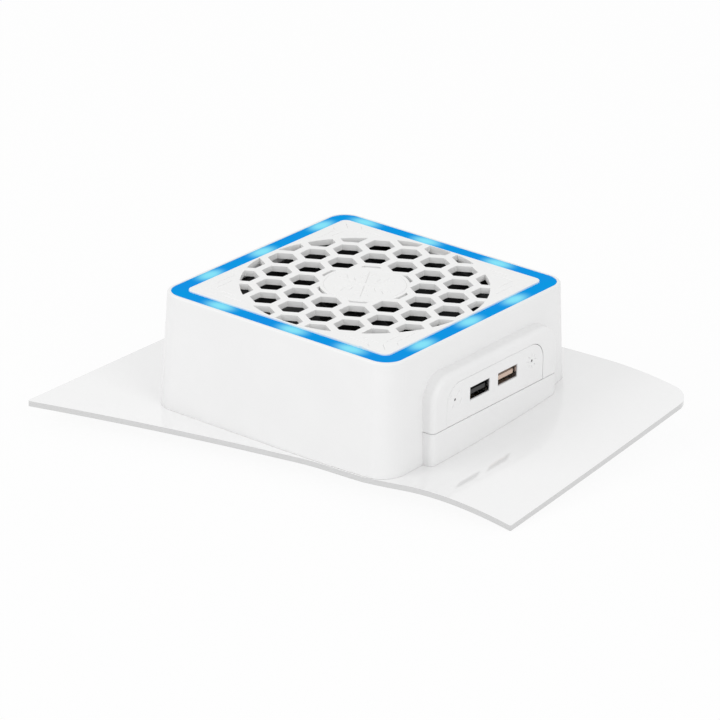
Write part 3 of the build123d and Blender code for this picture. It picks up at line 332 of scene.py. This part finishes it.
def lit_guide(name):
    """The ring: milky blue that glows, with a pale cyan bloom over each diode."""
    material, shader = new_material(name)
    point = object_point(material)
    blooms = [diode_bloom(material, point, place) for place in diode_points()]
    bloom = blooms[0]
    for other in blooms[1:]:
        total = add(material, "ShaderNodeMath", operation="MAXIMUM")
        wire(material, bloom, total.inputs[0])
        wire(material, other, total.inputs[1])
        bloom = total.outputs["Value"]
    cloud = noise(material, point, 70, 3)
    milky = tint(material, spread(material, cloud, 0, 1), LIT_BLUE, MILKY_BLUE)
    glow = add(material, "ShaderNodeMix", data_type="RGBA")
    wire(material, bloom, glow.inputs["Factor"])
    wire(material, milky, glow.inputs["A"])
    glow.inputs["B"].default_value = (*LIT_CYAN, 1)
    wire(material, glow.outputs["Result"], shader.inputs["Emission Color"])
    shader.inputs["Emission Strength"].default_value = 1.0
    base = tint(material, cloud, GUIDE_DARK, GUIDE_PALE)
    wire(material, base, shader.inputs["Base Color"])
    wire(material, spread(material, cloud, 0.3, 0.42), shader.inputs["Roughness"])
    fine = noise(material, point, 1800, 2)
    wire(material, bump(material, fine, 4e-6), shader.inputs["Normal"])
    shader.inputs["Specular IOR Level"].default_value = 0.0
    return material


materials = {
    "white_satin": plastic("white_satin", WHITE, rough=0.42, mottle=0.012),
    "panel_white": plastic("panel_white", PANEL_WHITE, rough=0.5, grain=3200, mottle=0.01),
    "white_gloss": glossy_cover("white_gloss"),
    "light_guide": lit_guide("light_guide"),
    "board_green": circuit_board("board_green"),
    "diode": plastic("diode", (0.78, 0.72, 0.30), rough=0.25, mottle=0.08),
    "fan_black": plastic("fan_black", BLACK, rough=0.6, grain=1900, mottle=0.2, specular=0.15),
    "yoke_steel": metal("yoke_steel", (0.46, 0.46, 0.47), rough=0.3),
    "magnet": plastic("magnet", (0.03, 0.03, 0.032), rough=0.55, mottle=0.25),
    "shaft_steel": metal("shaft_steel", (0.62, 0.62, 0.63), rough=0.16),
    "clip_nylon": plastic("clip_nylon", (0.68, 0.66, 0.58), rough=0.4, mottle=0.05),
    "bearing_bronze": metal("bearing_bronze", (0.45, 0.28, 0.11), rough=0.34, scale=900),
    "core_steel": metal("core_steel", (0.30, 0.30, 0.32), rough=0.4, stretch=(1, 1, 40), scale=300),
    "copper_wire": wound_copper("copper_wire"),
    "rubber_pad": plastic("rubber_pad", (0.045, 0.045, 0.047), rough=0.8, grain=1300, depth=2e-5, mottle=0.2),
    "screw_steel": metal("screw_steel", (0.50, 0.50, 0.51), rough=0.28, stretch=(1, 1, 3)),
    "port_steel": metal("port_steel", (0.60, 0.60, 0.61), rough=0.24, stretch=(14, 1, 1)),
    "tongue_black": plastic("tongue_black", (0.014, 0.014, 0.015), rough=0.35, mottle=0.2),
    "tongue_pale": plastic("tongue_pale", (0.62, 0.47, 0.38), rough=0.4, mottle=0.05),
    "contact_gold": metal("contact_gold", (0.80, 0.55, 0.21), rough=0.2, stretch=(10, 1, 1)),
    "clear_pipe": plastic("clear_pipe", (0.10, 0.10, 0.105), rough=0.2, mottle=0.1),
}
NODE_FINISH = {"grille_panel": "panel_white"}


def dress_nodes():
    """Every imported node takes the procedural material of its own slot."""
    for name, node in nodes.items():
        slot = NODE_FINISH.get(name, node.data.materials[0].name)
        for place in node.material_slots:
            place.material = materials[slot]


dress_nodes()


# Engraved lines, each cut with a wedge mesh that stays hidden


def piece_from(mesh, name, finish, body=None):
    """A finished mesh becomes a named piece, which rides on a body if one is named."""
    data = bpy.data.meshes.new(name)
    mesh.normal_update()
    mesh.to_mesh(data)
    mesh.free()
    piece = bpy.data.objects.new(name, data)
    bpy.context.scene.collection.objects.link(piece)
    data.materials.append(finish)
    if body:
        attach(piece, body)
    return piece


def groove(mesh, plane, start, end, width, depth):
    """A wedge along one stroke on a plane, which cuts a V groove with pointed ends."""
    origin, across, upward = plane
    out = across.cross(upward)
    a, b = Vector(start), Vector(end)
    along = (b - a).normalized()
    side = Vector((-along.y, along.x)) * width

    def point(flat, height):
        return mesh.verts.new(origin + across * flat.x * MM + upward * flat.y * MM + out * height * MM)

    top = [point(p, depth) for p in (a - side, a + side, b + side, b - side)]
    low = [point(a + along * width / 2, -depth), point(b - along * width / 2, -depth)]
    mesh.faces.new(top)
    mesh.faces.new((top[0], top[3], low[1], low[0]))
    mesh.faces.new((top[2], top[1], low[0], low[1]))
    mesh.faces.new((top[1], top[0], low[0]))
    mesh.faces.new((top[3], top[2], low[1]))


def ring_groove(mesh, plane, radius, width, depth, steps):
    """A closed wedge that cuts one round V groove."""
    origin, across, upward = plane
    out = across.cross(upward)
    loops = []
    for step in range(steps):
        angle = 2 * math.pi * step / steps
        ray = across * math.cos(angle) + upward * math.sin(angle)
        section = ((radius - width, depth), (radius + width, depth), (radius, -depth))
        loops.append([mesh.verts.new(origin + ray * r * MM + out * h * MM) for r, h in section])
    for step in range(steps):
        near, far = loops[step], loops[(step + 1) % steps]
        for i in range(3):
            j = (i + 1) % 3
            mesh.faces.new((near[i], near[j], far[j], far[i]))


def engrave(target, name, mesh):
    """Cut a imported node's surface with a hidden wedge mesh."""
    bmesh.ops.recalc_face_normals(mesh, faces=mesh.faces)
    cutter = piece_from(mesh, name, materials["white_satin"], body="casing")
    cutter.hide_render = True
    weld = nodes[target].modifiers.new("weld", "WELD")
    weld.merge_threshold = WELD_GAP
    cut = nodes[target].modifiers.new(name, "BOOLEAN")
    cut.operation = "DIFFERENCE"
    cut.solver = "EXACT"
    cut.object = cutter


def turned(point, angle):
    """A point on a plane, turned about the middle."""
    c, s = math.cos(angle), math.sin(angle)
    return (point[0] * c - point[1] * s, point[0] * s + point[1] * c)


# Strokes as start and end, in millimetres: one arm of the star, one corner, the left pinhole's marks
SNOW_STROKES = (
    ((1.4, 0.0), (14.3, 0.0)),
    ((5.2, 0.5), (8.2, 3.2)),
    ((5.2, -0.5), (8.2, -3.2)),
    ((9.0, 0.5), (12.4, 3.4)),
    ((9.0, -0.5), (12.4, -3.4)),
)
CORNER_STROKES = (
    ((47.2, 27.0), (47.2, 38.6)),
    ((47.5, 39.2), (50.0, 41.6)),
    ((44.0, 33.0), (44.0, 42.6)),
    ((44.5, 44.5), (48.4, 48.4)),
)
BOLT_STROKES = (
    ((2.9, 3.2), (0.8, 1.2)),
    ((4.4, -0.6), (3.1, -3.4)),
    ((-0.6, -1.8), (-1.8, -3.4)),
    ((-2.4, 2.6), (-3.6, 1.2)),
)


def engrave_panel():
    """Six-armed frost star and thin rim on the centre disc, stepped strokes in the corners."""
    plane = (Vector((0, 0, PANEL_TOP)), Vector((1, 0, 0)), Vector((0, 1, 0)))
    mesh = bmesh.new()
    for arm in range(6):
        turn = arm * math.pi / 3
        for start, end in SNOW_STROKES:
            groove(mesh, plane, turned(start, turn), turned(end, turn), STAR_WIDTH, PANEL_DEPTH)
    for corner in range(4):
        turn = corner * math.pi / 2
        for start, end in CORNER_STROKES:
            groove(mesh, plane, turned(start, turn), turned(end, turn), CORNER_WIDTH, PANEL_DEPTH)
            if start[0] != start[1]:
                start, end = start[::-1], end[::-1]
                groove(mesh, plane, turned(start, turn), turned(end, turn), CORNER_WIDTH, PANEL_DEPTH)
    ring_groove(mesh, plane, RIM_RADIUS, RIM_WIDTH, RIM_DEPTH, RIM_STEPS)
    engrave("grille_panel", "panel_cutter", mesh)


def engrave_bezel():
    """Eight rays round the right pinhole and slanted strokes round the left one."""
    mesh = bmesh.new()
    across, upward = Vector((0, 1, 0)), Vector((0, 0, 1))
    right = (Vector((PIN_FACE, PIN_CENTRE_Y + PIN_OFFSET_Y, PIN_HEIGHT)), across, upward)
    left = (Vector((PIN_FACE, PIN_CENTRE_Y - PIN_OFFSET_Y, PIN_HEIGHT)), across, upward)
    for ray in range(RAY_COUNT):
        angle = 2 * math.pi * ray / RAY_COUNT
        start, end = turned((RAY_START, 0), angle), turned((RAY_END, 0), angle)
        groove(mesh, right, start, end, MARK_WIDTH, MARK_DEPTH)
    for start, end in BOLT_STROKES:
        groove(mesh, left, start, end, MARK_WIDTH, MARK_DEPTH)
    engrave("port_bezel", "bezel_cutter", mesh)


def cut_screw_recesses():
    """A cross recess in each of the four housing screws, seen from below."""
    low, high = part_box("housing_screws")
    reach = high.x - SCREW_HEAD_RADIUS * MM
    far, near = RECESS_REACH, RECESS_GAP
    strokes = (((-far, 0), (far, 0)), ((0, -far), (0, -near)), ((0, near), (0, far)))
    mesh = bmesh.new()
    for x, y in ((-1, -1), (1, -1), (1, 1), (-1, 1)):
        plane = (Vector((x * reach, y * reach, low.z)), Vector((0, 1, 0)), Vector((1, 0, 0)))
        for start, end in strokes:
            groove(mesh, plane, start, end, RECESS_WIDTH, RECESS_DEPTH)
    engrave("housing_screws", "recess_cutter", mesh)


engrave_panel()
engrave_bezel()
cut_screw_recesses()


# Floor, world, lamps and camera


def stage_floor():
    """A wide pale floor under the part. Seen directly it is almost white and still takes the shadow."""
    mesh = bmesh.new()
    level = cad_low.z - FLOOR_GAP
    signs = ((-1, -1), (1, -1), (1, 1), (-1, 1))
    mesh.faces.new([mesh.verts.new((x * FLOOR_HALF, y * FLOOR_HALF, level)) for x, y in signs])
    material, shader = new_material("floor_paper")
    material.node_tree.nodes.remove(shader)
    out = material.node_tree.nodes["Material Output"]
    share = add(material, "ShaderNodeMath", operation="MULTIPLY")
    share.inputs[1].default_value = FLOOR_GLOW
    wire(material, seen_directly(material), share.inputs[0])
    paper = add(material, "ShaderNodeBsdfDiffuse", Color=FLOOR_COLOUR)
    white = add(material, "ShaderNodeEmission", Color=(1, 1, 1, 1), Strength=1.0)
    mix = add(material, "ShaderNodeMixShader")
    wire(material, share.outputs["Value"], mix.inputs[0])
    wire(material, paper.outputs[0], mix.inputs[1])
    wire(material, white.outputs[0], mix.inputs[2])
    wire(material, mix.outputs[0], out.inputs["Surface"])
    piece_from(mesh, "floor", material)


def world_light():
    """Even light from all round, seen as white by the camera and by gloss."""
    world = bpy.data.worlds.new("studio")
    bpy.context.scene.world = world
    world.use_nodes = True
    back = world.node_tree.nodes["Background"]
    back.inputs["Color"].default_value = (1, 1, 1, 1)
    level = add(world, "ShaderNodeMapRange")
    level.inputs["To Min"].default_value = SKY_STRENGTH
    level.inputs["To Max"].default_value = 1.0
    wire(world, seen_directly(world), level.inputs["Value"])
    wire(world, level.outputs["Result"], back.inputs["Strength"])


def softbox(name, place, size, power):
    """A square area lamp that faces the part."""
    data = bpy.data.lights.new(name, "AREA")
    data.shape = "SQUARE"
    data.size = size
    data.energy = power
    lamp = bpy.data.objects.new(name, data)
    bpy.context.scene.collection.objects.link(lamp)
    lamp.location = place
    lamp.rotation_mode = "QUATERNION"
    lamp.rotation_quaternion = (-Vector(place)).to_track_quat("-Z", "Y")


def camera():
    """The eye that sees the part as the photograph does."""
    data = bpy.data.cameras.new("view")
    data.lens = CAMERA_LENS
    data.sensor_width = SENSOR_WIDTH
    data.clip_start = CLIP_NEAR
    data.clip_end = CLIP_FAR
    eye = bpy.data.objects.new("view", data)
    bpy.context.scene.collection.objects.link(eye)
    eye.location = CAMERA_PLACE
    aim = (Vector(CAMERA_TARGET) - Vector(CAMERA_PLACE)).to_track_quat("-Z", "Y")
    roll = Matrix.Rotation(CAMERA_ROLL, 4, "Z").to_quaternion()
    eye.rotation_mode = "QUATERNION"
    eye.rotation_quaternion = aim @ roll
    bpy.context.scene.camera = eye


stage_floor()
world_light()
for name, place, size, power in LAMPS:
    softbox(name, place, size, power)
camera()
bpy.context.scene.view_settings.view_transform = "Standard"
